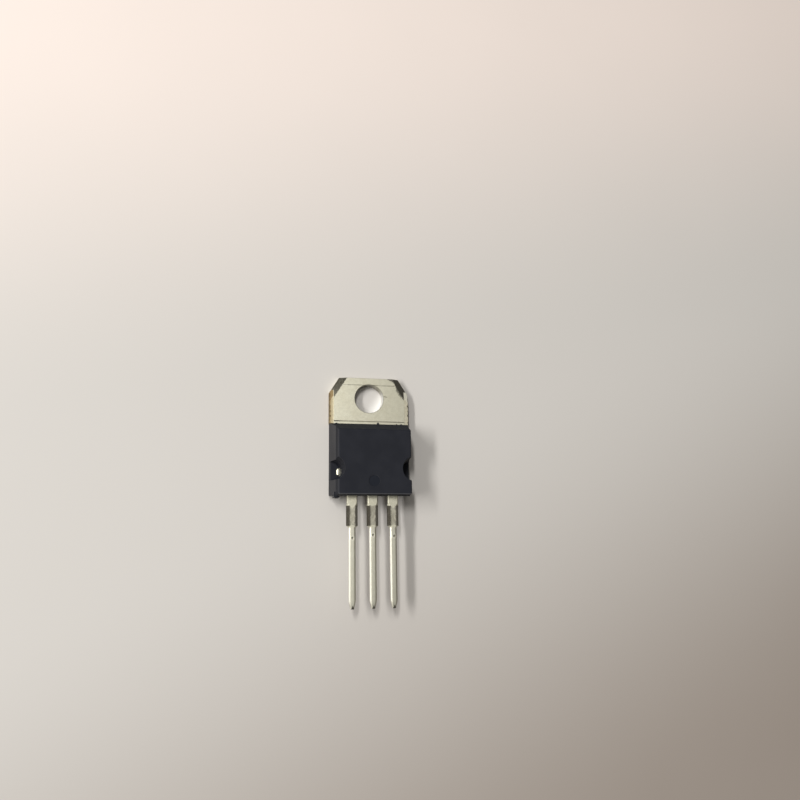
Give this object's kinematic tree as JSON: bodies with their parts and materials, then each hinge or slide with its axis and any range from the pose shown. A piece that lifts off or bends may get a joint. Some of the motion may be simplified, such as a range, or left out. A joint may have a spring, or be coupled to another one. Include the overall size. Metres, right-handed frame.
{
  "type": "voltage regulator",
  "caption": "Linear voltage regulator in a flat black plastic package with a drilled metal heat-sink tab at one end and stiff tinned leads in a row at the other",
  "frame": {"origin": "centre of the screw hole, on the back of the tab, which is the surface that the part rests on", "axes": "+Z out of the front face, +Y along the part towards the free end of the tab, so that the leads run towards -Y, +X across to the output lead"},
  "size_m": [0.0104, 0.0287, 0.0045],
  "materials": {
    "tinned_tab": "matt tin plating on copper",
    "tinned_lead": "tin plating on copper",
    "black_epoxy": "matt black moulded epoxy",
    "silicon": "polished silicon",
    "solder": "soft solder",
    "aluminium_wire": "bright drawn wire"
  },
  "bodies": {
    "root": {"tab_with_ground_lead": "tinned_tab", "input_lead": "tinned_lead", "output_lead": "tinned_lead", "moulded_body": "black_epoxy", "regulator_die": "silicon", "die_attach_solder": "solder", "input_bond_wire": "aluminium_wire", "output_bond_wire": "aluminium_wire", "ground_bond_wire": "aluminium_wire"}
  },
  "joints": []
}
